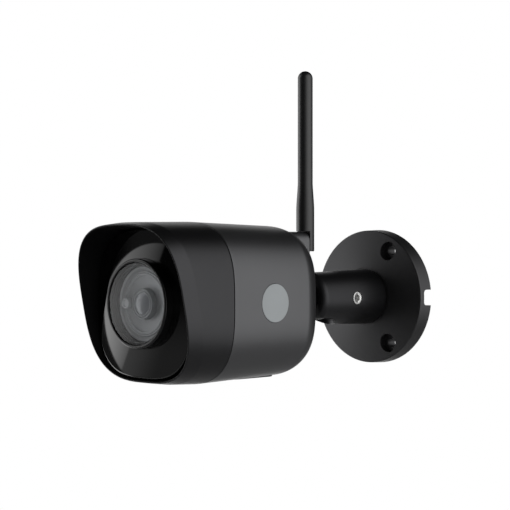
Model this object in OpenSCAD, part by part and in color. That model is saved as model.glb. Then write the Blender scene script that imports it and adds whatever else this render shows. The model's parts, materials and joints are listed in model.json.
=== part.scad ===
// Outdoor bullet camera on a three-axis wall bracket, with one swivelling stick antenna.
// Origin: centre of the wall face of the base cup. +Y points into the wall, +Z is up and the
// lens looks along -Y. "Reach" is the distance from the wall, so a reach of r is at y = -r.

/* [Wall base] */
// Radius of the base cup at the wall
base_r = 35; // [32:0.5:40]
// Radius of the base cup at its front edge
base_front_r = 34.6; // [31:0.1:39]
// Reach of the front edge of the cup
base_edge_reach = 8.3; // [7.5:0.1:12]
// Reach of the flat land that the arm turns on
base_land_reach = 10.5; // [10:0.1:14]
// Radius of that flat land
base_land_r = 15.5; // [15:0.1:18]
// Wall thickness of the base cup
base_wall = 2.6; // [2:0.1:3.2]
// Radius of the wall screw circle
screw_circle_r = 27.5; // [25:0.5:28.5]
// Number of wall screws
wall_screws = 3; // [3:1:4]
// Diameter of a wall screw hole
wall_hole_d = 5; // [4:0.1:5.5]
// Diameter of the recess for the screw head
wall_head_d = 9.6; // [8:0.1:10]
// Depth of the recess for the screw head
wall_head_depth = 3; // [1:0.1:4]
// Width of the cable notch in the rim
notch_w = 8; // [5:0.5:12]
// Reach of the closed end of the cable notch
notch_reach = 5.6; // [4:0.1:6]

/* [Arm] */
// Radius of the arm at its foot
arm_foot_r = 14.2; // [13.5:0.1:15]
// Radius of the arm at its free end
arm_end_r = 13; // [12:0.1:14]
// Length of the arm in front of the base cup
arm_l = 46.5; // [44:0.5:60]
// Radius that rounds the free end of the arm
arm_round = 3.4; // [2:0.1:3.6]
// Radius of the spigot that turns in the base cup
spigot_r = 13; // [12.8:0.05:13.4]
// Radius of the bore in the arm
arm_bore_r = 11.1; // [11:0.05:11.3]
// Thickness of the clip that holds the arm in the cup
clip_t = 1.2; // [1:0.1:1.5]
// Outer radius of that clip
clip_r = 15.6; // [14.5:0.1:16]
// Thickness of the friction washer under that clip
pan_washer_t = 0.8; // [0.5:0.1:1.2]
// Radius of the lock screw
lock_r = 3.3; // [2.5:0.1:4]
// Distance of the lock screw from the free end of the arm
lock_from_end = 24.6; // [24.5:0.1:28]
// Width across the flats of the lock screw's hex socket
lock_hex = 3; // [2:0.5:4]

/* [Ball joint] */
// Radius of the ball
ball_r = 10.8; // [10.6:0.05:10.9]
// How far the centre of the ball lies behind the end of the arm
ball_depth = 9; // [8.5:0.1:9.5]
// Radius of the neck between ball and housing
neck_r = 7.5; // [6:0.1:7.8]
// Radius of the stem's collar behind the housing
collar_r = 11; // [9:0.1:12]
// Thickness of the stem's collar
collar_t = 2.5; // [2:0.1:4]
// Radius of the stem where it passes through the housing
stem_r = 7.5; // [6:0.1:8]
// Radius of the cable way through ball, neck and plug
cable_way_r = 4.5; // [3:0.1:5]
// Free space beside the neck in the slot under the arm
slot_play = 1.1; // [0.8:0.1:1.1]

/* [Housing] */
// Half width of the housing at the seam
seam_half_w = 37; // [34:0.5:40]
// Half height of the housing at the seam
seam_half_h = 36.9; // [34:0.1:40]
// How much narrower each side of the housing is where its rear starts to round
rear_draft_w = 1; // [0:0.1:2]
// How much lower top and bottom of the housing are where its rear starts to round
rear_draft_h = 1.1; // [0:0.1:2]
// How much narrower each side of the hood is at its lip
lip_draft_w = 2.5; // [1.5:0.1:2.8]
// How much lower top and bottom of the hood are at its lip
lip_draft_h = 1.5; // [1.2:0.1:2]
// Width of the steeper strip behind the lip
strip_l = 7.5; // [5:0.1:10]
// How much the strip draws each side in
strip_draft_w = 1.2; // [0.5:0.1:1.5]
// How much the strip draws top and bottom in
strip_draft_h = 0.9; // [0.4:0.1:1.2]
// Squareness of the cross section, 2 is an ellipse and more is squarer
squareness = 3; // [2.6:0.1:3.6]
// Gap between the end of the arm and the housing
neck_l = 19.9; // [18:0.1:30]
// Depth of the rounding at the rear
rear_round = 17.8; // [14:0.1:22]
// How far the rounding draws the outline in
rear_inset = 17.2; // [14:0.1:20]
// Length of the rear housing
housing_l = 67.2; // [66:0.1:80]
// Length of the hood from the seam to its lip at mid height
hood_l = 27.8; // [27:0.1:36]
// How much further the lip reaches for each millimetre up
lip_lean = 0.211; // [0.1:0.01:0.22]
// Wall thickness of housing and hood
wall = 2.4; // [2:0.1:3]

/* [Front panel and window] */
// How far the front panel lies behind the lip at mid height
panel_depth = 6.8; // [6:0.1:7]
// Thickness of the front panel
panel_t = 2.2; // [1.6:0.1:3]
// Outer radius of the ring round the window
window_ring_r = 20.2; // [19.5:0.1:21]
// How far the ring round the window stands proud of the panel
window_ring_proud = 4.5; // [3.5:0.1:5]
// Radius of the window glass
glass_r = 18.25; // [17.5:0.05:18.6]
// Thickness of the window glass
glass_t = 1.6; // [1:0.1:2]
// How far the glass lies behind the front of the ring
glass_depth = 0.4; // [0.2:0.1:0.8]

/* [Camera module] */
// Outer radius of the infrared lens ring
ir_ring_r = 17; // [16:0.1:17.2]
// Outer radius of the lens bezel
bezel_r = 13.8; // [12:0.1:14.5]
// Radius of the lens barrel
barrel_r = 6.9; // [6:0.1:7.5]
// Gap between the glass and the lens barrel
barrel_gap = 1.7; // [1.2:0.1:2]
// Radius of the front lens
front_lens_r = 5; // [4:0.1:5.4]
// Number of infrared lamps
ir_lamps = 6; // [4:1:8]
// Depth of the infrared ring behind the glass
ir_ring_depth = 3.1; // [2.8:0.1:3.2]
// Offset of the light sensor from the lens
light_sensor_offset = 10; // [9.9:0.1:10.1]
// Radius of the light sensor's pipe
light_sensor_r = 2.4; // [1.8:0.1:2.4]
// Side of the square sensor board
sensor_board_w = 34; // [30:1:38]

/* [Electronics] */
// Width of the main board
board_w = 42; // [36:1:46]
// Thickness of the boards
board_t = 1.6; // [1:0.1:2]
// Height of the chassis plate above the axis, negative is below
chassis_z = -12; // [-14:0.5:-10]
// Radius of the loudspeaker
speaker_r = 8; // [6:0.5:8.5]

/* [Underside cover] */
// Width of the cover over the card slot
cover_w = 26; // [22:0.5:30]
// Length of the cover over the card slot
cover_l = 28; // [26:0.5:30]
// Thickness of the cover
cover_t = 1.8; // [1.2:0.1:2]
// Radius of the cover's corners
cover_corner_r = 4; // [2:0.5:5]
// Travel of the reset button
reset_travel = 0.5; // [0.3:0.1:0.8]

/* [Badge] */
// Radius of the plain badge on the side
badge_r = 8.8; // [7:0.1:10]
// Thickness of the badge
badge_t = 1.2; // [0.8:0.1:1.6]
// Distance of the badge's centre from the seam
badge_from_seam = 26.3; // [20:0.1:32]

/* [Antenna] */
// Radius of the antenna's foot
antenna_foot_r = 4.5; // [4:0.1:5]
// Radius of the antenna's shaft
antenna_r = 3.73; // [3:0.01:4]
// Distance of the antenna's axis behind the housing
antenna_gap = 19.6; // [17:0.1:20]
// How far the antenna's pivot lies below the top of the housing
pivot_drop = 8.2; // [7:0.1:9]
// Length of the antenna from its pivot to its tip
antenna_l = 85; // [65:0.5:150]
// Distance from the pivot to where the foot starts to taper
taper_start = 16.6; // [12:0.1:20]
// Distance from the pivot to where the taper ends
taper_end = 28.7; // [24:0.1:40]
// How far the tongue reaches below the pivot
tongue_drop = 5.1; // [4.8:0.1:6]
// Radius of the pivot pin
pivot_r = 1.5; // [1.2:0.1:1.8]
// Radius of the antenna lead
lead_r = 0.8; // [0.5:0.1:1.2]

/* [Hidden] */

// Clearances, each named for the fit that it makes
turn_fit = 0.05;   // a shaft that turns in its bore
press_play = 0.02; // a pin held in its bore
loose_fit = 0.15;  // a piece that drops into its seat
face_gap = 0.3;    // faces of different bodies that pass each other
hair_gap = 0.1;    // faces of different bodies that rest on each other
cut = 1;           // how far a cutter reaches past what it cuts

// Facets
round_fn = 96;
small_fn = 48;
ring_points = 72;
round_steps = 9;

// Base cup and the fit of the arm in it
edge_round = 0.6;
edge_sweep = 80;
base_back_reach = base_land_reach - base_wall;
hub_wall = 3;
hub_r = spigot_r + hub_wall;
hub_l = 5;
hub_back_reach = base_land_reach - hub_l;
clip_split = 6;
clip_front = hub_back_reach - pan_washer_t;
groove_r = spigot_r - 0.8;
spigot_back_reach = clip_front - clip_t - 1.1;
arm_foot_reach = base_land_reach + face_gap;
arm_reach = arm_foot_reach + arm_l;
ball_reach = arm_reach - ball_depth;
lock_reach = arm_reach - lock_from_end;
rear_reach = arm_reach + neck_l;
seam_reach = rear_reach + housing_l;
lip_reach = seam_reach + hood_l;
panel_reach = lip_reach - panel_depth;
ledge_depth = 4.9;
ledge_reach = panel_reach - ledge_depth;
window_ring_reach = panel_reach + window_ring_proud;
glass_reach = window_ring_reach - glass_depth;
badge_reach = seam_reach - badge_from_seam;
antenna_reach = rear_reach - antenna_gap;
wall_boss_r = wall_head_d / 2 + base_wall * 0.7;

// Socket of the arm
mouth_r = ball_r - 2.2;
lip_back_reach = ball_reach + sqrt(arm_bore_r * arm_bore_r - mouth_r * mouth_r);
slot_r = neck_r + slot_play;
plug_r = arm_bore_r - hair_gap;
plug_front_reach = ball_reach - neck_r - face_gap;
lock_cone_l = 2.5;
lock_shank_x = arm_bore_r - 0.2;
lock_tip_x = lock_shank_x - lock_cone_l;
lock_head_x = arm_end_r + 0.4;
lock_hex_depth = 1.8;
// The plug's rear chamfer lies along the screw's 45 degree cone, one face gap away from it
chamfer_reach = lock_reach + lock_r - lock_shank_x + face_gap * 1.5;
chamfer_w = 3.5;

// Stem through the rear wall of the housing
rear_wall = 3;
rear_inner_reach = rear_reach + rear_wall;
collar_reach = rear_reach - face_gap;
flare_start = 6.7;
flare_reach = arm_reach + flare_start;
stem_washer_w = 4;
stem_washer_r = stem_r + stem_washer_w;
stem_washer_t = 1;
nut_w = 3.2;
nut_r = stem_r + nut_w;
nut_t = 4;
nut_reach = rear_inner_reach + hair_gap + stem_washer_t;
stem_end_reach = nut_reach + nut_t + 2;

// Housing and hood
rear_half_w = seam_half_w - rear_draft_w;
rear_half_h = seam_half_h - rear_draft_h;
lip_half_w = seam_half_w - lip_draft_w;
lip_half_h = seam_half_h - lip_draft_h;
strip_half_w = lip_half_w + strip_draft_w;
strip_half_h = lip_half_h + strip_draft_h;
recess_in_w = 2.9;
recess_half_w = lip_half_w - recess_in_w;
recess_in_h = 2.4;
recess_half_h = lip_half_h - recess_in_h;
pivot_z = seam_half_h - pivot_drop;
dome_power = 1.61;      // shape of the rear rounding, 2 is a quarter of an ellipse
inner_squareness = 4;   // squareness of the flat rear face
round_start_reach = rear_reach + rear_round;
seam_gap = 0.3;
seam_skin = 0.9;
seal_half = 0.6;
housing_edge = seam_reach - seam_gap / 2;
hood_edge = seam_reach + seam_gap / 2;
seal_back = seam_reach - seal_half;
seal_front = seam_reach + seal_half;
ledge_w = 2.2;
ledge_t = 1.5;
lip_round = 0.45;
lip_t_w = 0.9;
lip_t_h = 0.9;
mouth_half_w = lip_half_w - lip_t_w;
mouth_half_h = lip_half_h - lip_t_h;
post_r = 3.4;
post_play = 0.4;
corner_share = pow(0.5, 1 / squareness);
post_x = seam_half_w * corner_share - post_r - post_play;
post_z = seam_half_h * corner_share - post_r - post_play;
post_l = 55;
post_back_reach = seam_reach - post_l;
hood_boss_l = 4;
screw_r = 1.25;
screw_l = 16;
screw_head_r = 2.2;
screw_head_t = 1.6;
boss_r = antenna_foot_r + 0.1;
split_reach = antenna_reach + 1.1;
boss_rear_reach = split_reach + 0.3;
boss_inner_l = 15;
boss_front_reach = rear_reach + boss_inner_l;
boss_drop = 6.7;
boss_bottom_z = pivot_z - boss_drop;

// Window and camera module
panel_edge_play = loose_fit;
gasket_w = 0.35;
ring_bore_r = glass_r + gasket_w;
glass_back = glass_reach - glass_t;
ring_shelf_r = ir_ring_r + loose_fit;
ring_shelf_t = 1.2;
bevel_sweep = 78;
module_front = ledge_reach + 0.3;
module_t = 2;
module_back = module_front - module_t;
ir_board_front = module_front + board_t;
lamp_h = 1;
lamp_r = 1.3;
lamp_circle_r = (ir_ring_r + bezel_r) / 2;
ir_ring_back = ir_board_front + lamp_h + hair_gap;
bezel_back = ir_board_front;
bezel_front = glass_back - ir_ring_depth;
bezel_step = 1;
bezel_rim = 1.2;
bezel_slope_w = 2.4;
sensor_gap = 0.6;
barrel_reach = glass_back - barrel_gap;
barrel_l = 13.2;
barrel_back = barrel_reach - barrel_l;
barrel_play = 0.2;
holder_w = 19;
holder_l = 9;
holder_back = barrel_back - holder_l;
holder_wall = 1.5;
board_back = holder_back - board_t;
chip_w = 8;
chip_t = 1.2;
pillar_r = 1.7;
pillar_xz = sensor_board_w / 2 - 3;

// Electronics in the rear housing
chassis_t = 2;
chassis_side = 3;
chassis_w = board_w + 2 * chassis_side;
chassis_gap = 1.2;
chassis_back_gap = 16;
chassis_back = rear_reach + chassis_back_gap;
chassis_l = board_back - chassis_gap - chassis_back;
chassis_margin = 2;
board_l = chassis_l - 2 * chassis_margin;
rail_t = 2.4;
rail_inset = 5;
rail_x = chassis_w / 2 - rail_inset;
standoff_r = 2.2;
standoff_h = 1.6;
main_chip_w = 14;
main_chip_mid = chassis_back + chassis_l / 2 + 2;
speaker_t = 4;
speaker_back_t = 2;
speaker_hole_pitch = 3.5;
main_chip_t = 1.5;
sink_w = 30;
sink_back_gap = 10;
sink_front_gap = 2;
sink_front = chassis_back + chassis_l - chassis_margin - sink_front_gap;
sink_l = board_l - sink_back_gap - sink_front_gap;
sink_t = 2.5;
fin_t = 1.2;
fin_h = 6;
fins = 7;
board_z = chassis_z + standoff_h;
chip_z = board_z + board_t;
sink_z = chip_z + main_chip_t;

// Underside cover, card slot and reset button
cover_mid_offset = 29.8;
cover_mid_reach = rear_reach + cover_mid_offset;
cover_proud = 0.2;
cover_face_z = -(rear_half_h + cover_proud);
cover_seat_z = cover_face_z + cover_t;
cover_land_x = 4.5;
cover_land_y = 6;
cover_open_w = cover_w - 2 * cover_land_x;
cover_open_l = cover_l - 2 * cover_land_y;
cover_gasket_t = 0.6;
seat_wall = 2;
speaker_gap = 1;
speaker_reach = cover_mid_reach + cover_l / 2 + seat_wall + speaker_r + speaker_gap;
card_depth = 9.1;
card_z = cover_seat_z + card_depth;
socket_w = 14;
socket_l = 12;
socket_h = 2.6;
card_w = 11;
card_l = 13;
card_t = 1;
reset_x = 4.6;
reset_offset = 5.5;
reset_reach = cover_mid_reach - reset_offset;
card_offset = 2.7;
card_board_back = 9;
card_board_front = 11;
card_board_side = 4;
card_play = 0.2;
reset_r = 1.6;
reset_switch_h = 2.2;
switch_w = 5.2;
reset_h = 3.2;
cover_screw_r = 1;
cover_screw_l = 6.5;
cover_screw_head_r = 2;
cover_screw_head_t = 1.2;
screw_sink = 0.2;
cover_screw_inset = 3.2;
cover_screw_reach = cover_l / 2 - cover_screw_inset;

// Antenna knuckle
washer_t = 0.2;
shoulder_z = pivot_z + boss_r + face_gap;
pin_head_r = pivot_r + 0.9;
pin_head_t = 1.2;
pin_end_reach = boss_rear_reach + 12;

// ------------------------------------------------------------------ helpers

function power(v, e) = sign(v) * pow(abs(v), e);

// One outline of the rounded square section: half width w, half height h, squareness n, at
// the given reach, leaning forward by lean for each millimetre up.
function outline(w, h, n, reach, lean = 0) = [
    for (i = [0 : ring_points - 1])
        let (a = 360 * (i + 0.5) / ring_points, z = h * power(sin(a), 2 / n))
        [w * power(cos(a), 2 / n), -(reach + lean * z), z]
];

function mix(a, b, t) = a + (b - a) * t;

// Half sizes of the section at a reach between the start of the rear rounding and the seam
function rear_w_at(reach) = mix(rear_half_w, seam_half_w,
    (reach - round_start_reach) / (seam_reach - round_start_reach));
function rear_h_at(reach) = mix(rear_half_h, seam_half_h,
    (reach - round_start_reach) / (seam_reach - round_start_reach));

// Section of the rear housing, drawn in by inset, anywhere behind the seam
function rear_outline(reach, inset) = outline(
    rear_w_at(reach) - inset, rear_h_at(reach) - inset, squareness, reach);

// Outline in the rear rounding: angle 0 is its start and 90 is the flat rear face
function dome_outline(angle, inset, depth) =
    let (k = 1 - pow(max(cos(angle), 0), 2 / dome_power), a = pow(sin(angle), 2 / dome_power))
    outline(rear_half_w - inset - (rear_inset - inset / 2) * k,
        rear_half_h - inset - (rear_inset - inset / 2) * k,
        mix(squareness, inner_squareness, k),
        round_start_reach - depth * a);

// Section of the hood outside: t is 0 at the seam and 1 where the strip behind the lip starts
function hood_outline(t) = outline(
    mix(seam_half_w, strip_half_w, t), mix(seam_half_h, strip_half_h, t),
    squareness, mix(seam_reach, lip_reach - strip_l, t), lip_lean * t);

// Outline in the rounding of the lip: angle 0 is outside, 90 is the crest and 180 inside
function lip_outline(angle) =
    let (t = (1 - cos(angle)) / 2)
    outline(mix(lip_half_w, mouth_half_w, t), mix(lip_half_h, mouth_half_h, t),
        squareness, lip_reach + lip_round * (sin(angle) - 1), lip_lean);

// Upright outline of the recess that the front panel sits in
function recess_outline(reach, inset) = outline(
    recess_half_w - inset, recess_half_h - inset, squareness, reach);

// Upright section of the hood at a reach, used inside it
function hood_plain(reach, inset) =
    let (t = (reach - seam_reach) / (lip_reach - strip_l - seam_reach))
    outline(mix(seam_half_w, strip_half_w, t) - inset, mix(seam_half_h, strip_half_h, t) - inset,
        squareness, reach);

// Skin through a list of outlines, whose outer ones run away from the wall.
// Closed makes a tube whose last outline joins the first,
// otherwise the first and the last outline are capped.
module skin(rings, closed = false) {
    count = len(rings);
    n = ring_points;
    points = [for (ring = rings) for (p = ring) p];
    last = closed ? count - 1 : count - 2;
    sides = [for (r = [0 : last]) for (i = [0 : n - 1])
        let (a = r * n + i, b = r * n + (i + 1) % n,
            c = ((r + 1) % count) * n + (i + 1) % n, d = ((r + 1) % count) * n + i)
        each [[a, c, b], [a, d, c]]];
    first_cap = [for (i = [0 : n - 1]) i];
    last_cap = [for (i = [n - 1 : -1 : 0]) (count - 1) * n + i];
    polyhedron(points, closed ? sides : concat(sides, [first_cap, last_cap]), convexity = 8);
}

// Turns what is drawn up from zero so that it starts at a reach and grows away from the wall
module at_reach(reach, x = 0, z = 0) {
    translate([x, -reach, z]) rotate([90, 0, 0]) children();
}

// Cylinder or tube about an axis parallel to Y, between two reaches
module rod(r, back, front, x = 0, z = 0, fn = round_fn) {
    at_reach(back, x, z) cylinder(r = r, h = front - back, $fn = fn);
}

module tube(outer, inner, back, front, x = 0, z = 0, fn = round_fn) {
    difference() {
        rod(outer, back, front, x, z, fn);
        rod(inner, back - cut, front + cut, x, z, fn);
    }
}

// Turned piece about the Y axis from a profile of [radius, reach] points
module turned(profile, fn = round_fn) {
    rotate([90, 0, 0]) rotate_extrude($fn = fn) polygon(profile);
}

// Box given by its centre line: width in x, reach from back to front, height from z0 to z1
module slab(w, back, front, z0, z1, x = 0) {
    translate([x - w / 2, -front, z0]) cube([w, front - back, z1 - z0]);
}

// Places children at the four corner posts
module at_corners(x, z) {
    for (sx = [-1, 1]) for (sz = [-1, 1]) translate([sx * x, 0, sz * z]) children();
}

// Points on an arc: centre [r, h], radius, from and to angles in degrees
function arc(centre, radius, from, to, steps = round_steps) = [
    for (i = [0 : steps]) let (a = mix(from, to, i / steps))
        [centre[0] + radius * cos(a), centre[1] + radius * sin(a)]
];

// ------------------------------------------------------------------ wall base

module cup_shape() {
    turned(concat(
        [[base_land_r, base_land_reach]],
        [[0, base_land_reach], [0, 0], [base_r, 0]],
        arc([base_front_r - edge_round, base_edge_reach - edge_round], edge_round, 0, edge_sweep)));
}

module cup_hollow() {
    turned([[0, -cut], [base_r - base_wall, -cut],
        [base_front_r - base_wall, base_edge_reach - base_wall],
        [base_land_r, base_back_reach], [0, base_back_reach]]);
}

module at_wall_screws() {
    for (i = [0 : wall_screws - 1])
        rotate([0, -60 - i * 360 / wall_screws, 0]) translate([screw_circle_r, 0, 0]) children();
}

module cable_notch() {
    depth = base_wall + 2 * cut;
    translate([base_r - base_wall - cut, 0, 0]) {
        translate([0, -notch_reach + notch_w / 4, -notch_w / 2]) cube([depth, notch_reach, notch_w]);
        translate([0, -notch_reach, -notch_w / 4]) cube([depth, notch_reach, notch_w / 2]);
        for (s = [-1, 1]) translate([0, -notch_reach + notch_w / 4, s * notch_w / 4])
            rotate([0, 90, 0]) cylinder(r = notch_w / 4, h = depth, $fn = small_fn);
    }
}

module base_cup() {
    color("#4a4b4d") difference() {
        union() {
            difference() {
                cup_shape();
                cup_hollow();
            }
            at_wall_screws() rod(wall_boss_r, 0, base_edge_reach - base_wall / 2, fn = small_fn);
            rod(hub_r, hub_back_reach, base_land_reach - base_wall / 2);
        }
        at_wall_screws() {
            rod(wall_hole_d / 2, -cut, base_land_reach + cut, fn = small_fn);
            rod(wall_head_d / 2, base_edge_reach + 0.6 - wall_head_depth, base_land_reach + cut,
                fn = small_fn);
        }
        rod(spigot_r + turn_fit, -cut, base_land_reach + cut);
        cable_notch();
    }
}

module pan_washer() {
    color("#202123")
    tube(hub_r, spigot_r + loose_fit, clip_front, hub_back_reach);
}

// ------------------------------------------------------------------ arm

module arm_solid() {
    turned(concat(
        [[0, spigot_back_reach], [spigot_r, spigot_back_reach],
            [spigot_r, clip_front - clip_t - press_play], [groove_r, clip_front - clip_t - press_play],
            [groove_r, clip_front + press_play], [spigot_r, clip_front + press_play],
            [spigot_r, arm_foot_reach], [arm_foot_r, arm_foot_reach]],
        arc([arm_end_r - arm_round, arm_reach - arm_round], arm_round, 0, 90),
        [[0, arm_reach]]));
}

module arm_hollow() {
    turned(concat(
        [[0, 0], [arm_bore_r, 0], [arm_bore_r, ball_reach]],
        [for (i = [1 : round_steps]) let (a = i * asin((lip_back_reach - ball_reach) / arm_bore_r)
            / round_steps) [arm_bore_r * cos(a), ball_reach + arm_bore_r * sin(a)]],
        [[mouth_r, arm_reach + cut], [0, arm_reach + cut]]));
}

module neck_slot() {
    drop = arm_foot_r + cut;
    translate([0, -ball_reach, -drop]) cylinder(r = slot_r, h = drop, $fn = small_fn);
    slab(2 * slot_r, ball_reach, arm_reach + cut, -drop, 0);
}

module arm() {
    color("#4a4b4d") difference() {
        arm_solid();
        arm_hollow();
        neck_slot();
        translate([0, -lock_reach, 0]) rotate([0, 90, 0])
            cylinder(r = lock_r + turn_fit, h = arm_foot_r + cut, $fn = small_fn);
    }
}

module arm_clip() {
    color("#8d9093") difference() {
        tube(clip_r, groove_r + press_play, clip_front - clip_t, clip_front);
        slab(clip_split, 0, hub_back_reach, -clip_r - cut, 0);
    }
}

module pressure_plug() {
    back = chamfer_reach + plug_r - chamfer_w;
    color("#6d7073") difference() {
        turned([[0, back], [plug_r - chamfer_w, back], [plug_r, back + chamfer_w],
            [plug_r, plug_front_reach], [0, plug_front_reach]]);
        translate([0, -ball_reach, 0]) sphere(r = ball_r + face_gap, $fn = round_fn);
        rod(cable_way_r, back - cut, plug_front_reach + cut, fn = small_fn);
    }
}

module lock_screw() {
    color("#b9bbbd") translate([0, -lock_reach, 0]) rotate([0, 90, 0]) difference() {
        union() {
            translate([0, 0, lock_tip_x])
                cylinder(r1 = lock_r - lock_cone_l, r2 = lock_r, h = lock_cone_l, $fn = small_fn);
            translate([0, 0, lock_shank_x])
                cylinder(r = lock_r, h = lock_head_x - lock_shank_x, $fn = small_fn);
        }
        translate([0, 0, lock_head_x - lock_hex_depth])
            cylinder(d = lock_hex / cos(30), h = lock_hex_depth + cut, $fn = 6);
    }
}

// ------------------------------------------------------------------ ball and stem

module ball_stem() {
    color("#2c2d2f") difference() {
        union() {
            translate([0, -ball_reach, 0]) rotate([90, 0, 0]) sphere(r = ball_r, $fn = round_fn);
            turned([[0, ball_reach], [neck_r, ball_reach], [neck_r, flare_reach],
                [collar_r, collar_reach - collar_t], [collar_r, collar_reach],
                [stem_r, collar_reach], [stem_r, stem_end_reach], [0, stem_end_reach]]);
        }
        rod(cable_way_r, ball_reach - ball_r - cut, stem_end_reach + cut, fn = small_fn);
    }
}

module stem_washer() {
    color("#8d9093")
    tube(stem_washer_r, stem_r + press_play, nut_reach - stem_washer_t, nut_reach);
}

module stem_nut() {
    color("#b9bbbd") difference() {
        at_reach(nut_reach) cylinder(r = nut_r, h = nut_t, $fn = 6);
        rod(stem_r + press_play, nut_reach - cut, nut_reach + nut_t + cut);
    }
}

// ------------------------------------------------------------------ housing

module housing_shell() {
    outer_depth = rear_round;
    inner_depth = rear_round - rear_wall;
    skin(concat(
        [for (i = [round_steps : -1 : 1]) dome_outline(90 * i / round_steps, 0, outer_depth)],
        [for (t = [0, 0.5]) rear_outline(mix(round_start_reach, seam_reach, t), 0)],
        [rear_outline(housing_edge, 0), rear_outline(housing_edge, seam_skin),
            rear_outline(seal_back, seam_skin), rear_outline(seal_back, wall)],
        [rear_outline(round_start_reach, wall)],
        [for (i = [1 : round_steps]) dome_outline(90 * i / round_steps, wall, inner_depth)]));
}

// Boss on the upper rear that carries the antenna, round on top about the pivot
module antenna_boss() {
    rod(boss_r, boss_rear_reach, boss_front_reach, z = pivot_z, fn = small_fn);
    slab(2 * boss_r, boss_rear_reach, boss_front_reach, boss_bottom_z, pivot_z);
}

module cover_plate(grow, z0, z1) {
    w = cover_w / 2 + grow - cover_corner_r;
    l = cover_l / 2 + grow - cover_corner_r;
    translate([0, -cover_mid_reach, z0]) linear_extrude(z1 - z0) union() {
        for (sx = [-1, 1]) for (sy = [-1, 1]) translate([sx * w, sy * l])
            circle(r = cover_corner_r, $fn = small_fn);
        square([2 * w + 2 * cover_corner_r, 2 * l], center = true);
        square([2 * w, 2 * l + 2 * cover_corner_r], center = true);
    }
}

module at_cover_screws() {
    for (s = [-1, 1]) translate([0, -cover_mid_reach + s * cover_screw_reach, 0]) children();
}

module inside_of_housing() {
    skin([for (i = [round_steps : -1 : 1]) dome_outline(90 * i / round_steps, wall / 2,
            rear_round - rear_wall / 2),
        rear_outline(round_start_reach, wall / 2), rear_outline(seam_reach, wall / 2)]);
}

module housing_inserts() {
    for (sx = [-1, 1]) slab(rail_t, chassis_back + 2, chassis_back + chassis_l - 2,
        -seam_half_h, chassis_z - chassis_t, sx * rail_x);
    at_corners(post_x, post_z) rod(post_r, post_back_reach, seal_back, fn = small_fn);
}

module speaker_holes() {
    for (i = [-1 : 1]) for (j = [-1 : 1])
        translate([i * speaker_hole_pitch, -speaker_reach + j * speaker_hole_pitch,
            -seam_half_h - cut])
            cylinder(r = 0.9, h = 2 * wall, $fn = 24);
}

module rear_housing() {
    color("#55565a") difference() {
        union() {
            housing_shell();
            antenna_boss();
            intersection() {
                housing_inserts();
                inside_of_housing();
            }
            cover_plate(seat_wall, cover_seat_z, cover_seat_z + seat_wall + 2);
        }
        rod(stem_r + turn_fit, rear_reach - cut, rear_inner_reach + cut);
        rod(pivot_r + press_play, boss_rear_reach - cut, boss_front_reach + cut, z = pivot_z,
            fn = small_fn);
        at_corners(post_x, post_z) rod(screw_r + press_play, seal_back - screw_l, seal_back + cut,
            fn = small_fn);
        slab(cover_open_w, cover_mid_reach - cover_open_l / 2, cover_mid_reach + cover_open_l / 2,
            cover_seat_z - cut, cover_seat_z + 3 * seat_wall);
        cover_plate(loose_fit, cover_seat_z - 3 * cut, cover_seat_z);
        at_cover_screws() translate([0, 0, cover_seat_z - cut])
            cylinder(r = cover_screw_r + press_play, h = cover_screw_l, $fn = small_fn);
        translate([rear_w_at(badge_reach) - badge_t, -badge_reach, 0]) rotate([0, 90, 0])
            cylinder(r = badge_r + loose_fit, h = badge_t + cut, $fn = round_fn);
        speaker_holes();
    }
}

module front_hood() {
    color("#46474a") difference() {
        union() {
            skin(concat(
                [outline(seam_half_w, seam_half_h, squareness, hood_edge)],
                [for (t = [0.25, 0.5, 0.75, 1]) hood_outline(t)],
                [for (i = [0 : round_steps]) lip_outline(180 * i / round_steps)],
                [recess_outline(ledge_reach, 0), recess_outline(ledge_reach, ledge_w),
                    recess_outline(ledge_reach - ledge_t, ledge_w),
                    hood_plain(ledge_reach - ledge_t - 2 * ledge_w, wall),
                    hood_plain(seal_front, wall), hood_plain(seal_front, seam_skin),
                    hood_plain(hood_edge, seam_skin)]), closed = true);
            intersection() {
                at_corners(post_x, post_z) rod(post_r, seal_front, seal_front + hood_boss_l,
                    fn = small_fn);
                skin([hood_plain(seal_front - cut, wall / 2),
                    hood_plain(seal_front + hood_boss_l + cut, wall / 2)]);
            }
        }
        at_corners(post_x, post_z) rod(screw_r + loose_fit, seal_front - cut,
            seal_front + hood_boss_l + cut, fn = small_fn);
    }
}

module housing_seal() {
    inner = wall - 0.1;
    outer = seam_skin + 0.1;
    color("#141415") skin([
        rear_outline(seal_back, outer), hood_plain(seal_front, outer),
        hood_plain(seal_front, inner), rear_outline(seal_back, inner)], closed = true);
}

module housing_screws() {
    head = seal_front + hood_boss_l;
    color("#b9bbbd") at_corners(post_x, post_z) {
        rod(screw_r, seal_back - screw_l + 1, head + hair_gap, fn = small_fn);
        rod(screw_head_r, head, head + screw_head_t, fn = small_fn);
    }
}

// ------------------------------------------------------------------ front panel and window

module front_panel() {
    skirt = 1.6;
    edge = 0.8;
    play = panel_edge_play;
    color("#0c0c0d") difference() {
        skin(concat(
            [recess_outline(panel_reach - panel_t, play + skirt),
                recess_outline(ledge_reach, play + skirt), recess_outline(ledge_reach, play)],
            [for (i = [0 : 3]) let (a = 30 * i) recess_outline(
                panel_reach - edge * (1 - sin(a)), play + edge * (1 - cos(a)))]));
        rod(window_ring_r + loose_fit, ledge_reach - cut, panel_reach + cut);
    }
}

module window_ring() {
    bevel = 1.1;
    back = module_front;
    color("#2b2c2e") turned(concat(
        [[ring_shelf_r, back], [window_ring_r, back]],
        arc([window_ring_r - bevel, window_ring_reach - bevel], bevel, 0, bevel_sweep, 6),
        [[ring_bore_r, window_ring_reach], [ring_bore_r, glass_back],
            [ring_shelf_r, glass_back]]));
}

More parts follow.
